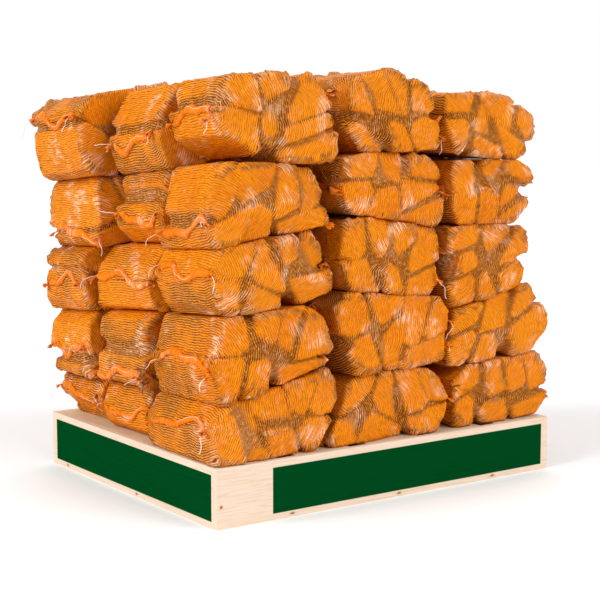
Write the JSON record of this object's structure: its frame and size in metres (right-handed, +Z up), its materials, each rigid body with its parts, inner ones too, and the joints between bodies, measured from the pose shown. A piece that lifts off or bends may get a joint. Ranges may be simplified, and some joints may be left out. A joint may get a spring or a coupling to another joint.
{
  "type": "pallet of bagged firewood logs",
  "caption": "Split beech logs in orange net bags, stacked in layers on a timber pallet boxed in by a low boarded skirt with plain green panels.",
  "frame": {"origin": "on the floor under the middle of the pallet", "axes": "+X along the long side of the pallet, +Y along its short side towards the back, +Z up"},
  "size_m": [1.3402, 0.986, 1.2377],
  "materials": {
    "bagged_logs": "split beech logs seen through a tight orange net",
    "net": "fine knitted orange plastic net, slightly glossy",
    "split_beech": "dry split and sawn beech, matt",
    "beech_bark": "smooth grey-brown beech bark, matt",
    "thread": "white sewing thread",
    "skirt_wood": "planed pale softwood with painted dark green panels",
    "pallet_wood": "rough sawn softwood"
  },
  "bodies": {
    "root": {"deck_board_1": "pallet_wood", "deck_board_2": "pallet_wood", "deck_board_3": "pallet_wood", "deck_board_4": "pallet_wood", "deck_board_5": "pallet_wood", "stringer_1": "pallet_wood", "stringer_2": "pallet_wood", "stringer_3": "pallet_wood", "bottom_board_1": "pallet_wood", "bottom_board_2": "pallet_wood", "bottom_board_3": "pallet_wood", "skirt_front": "skirt_wood", "skirt_back": "skirt_wood", "skirt_left": "skirt_wood", "skirt_right": "skirt_wood", "bag_layer1_left_front": "bagged_logs", "bag_layer1_middle_front": "bagged_logs", "bag_layer1_right_front": "bagged_logs", "bag_layer1_left_middle": "bagged_logs", "bag_layer1_middle_middle": "bagged_logs", "bag_layer1_right_middle": "bagged_logs", "bag_layer1_left_back": "bagged_logs", "bag_layer1_middle_back": "bagged_logs", "bag_layer1_right_back": "bagged_logs", "bag_layer2_left_front": "bagged_logs", "bag_layer2_middle_front": "bagged_logs", "bag_layer2_right_front": "bagged_logs", "bag_layer2_left_middle": "bagged_logs", "bag_layer2_middle_middle": "bagged_logs", "bag_layer2_right_middle": "bagged_logs", "bag_layer2_left_back": "bagged_logs", "bag_layer2_middle_back": "bagged_logs", "bag_layer2_right_back": "bagged_logs", "bag_layer3_left_front": "bagged_logs", "bag_layer3_middle_front": "bagged_logs", "bag_layer3_right_front": "bagged_logs", "bag_layer3_left_middle": "bagged_logs", "bag_layer3_middle_middle": "bagged_logs", "bag_layer3_right_middle": "bagged_logs", "bag_layer3_left_back": "bagged_logs", "bag_layer3_middle_back": "bagged_logs", "bag_layer3_right_back": "bagged_logs", "bag_layer4_left_front": "bagged_logs", "bag_layer4_middle_front": "bagged_logs", "bag_layer4_right_front": "bagged_logs", "bag_layer4_left_middle": "bagged_logs", "bag_layer4_middle_middle": "bagged_logs", "bag_layer4_right_middle": "bagged_logs", "bag_layer4_left_back": "bagged_logs", "bag_layer4_middle_back": "bagged_logs", "bag_layer4_right_back": "bagged_logs", "bag_layer5_left_front": "bagged_logs", "bag_layer5_middle_front": "bagged_logs", "bag_layer5_right_front": "bagged_logs", "bag_layer5_left_middle": "bagged_logs", "bag_layer5_middle_middle": "bagged_logs", "bag_layer5_right_middle": "bagged_logs", "bag_layer5_left_back": "bagged_logs", "bag_layer5_middle_back": "bagged_logs", "bag_layer5_right_back": "bagged_logs"}
  },
  "joints": []
}
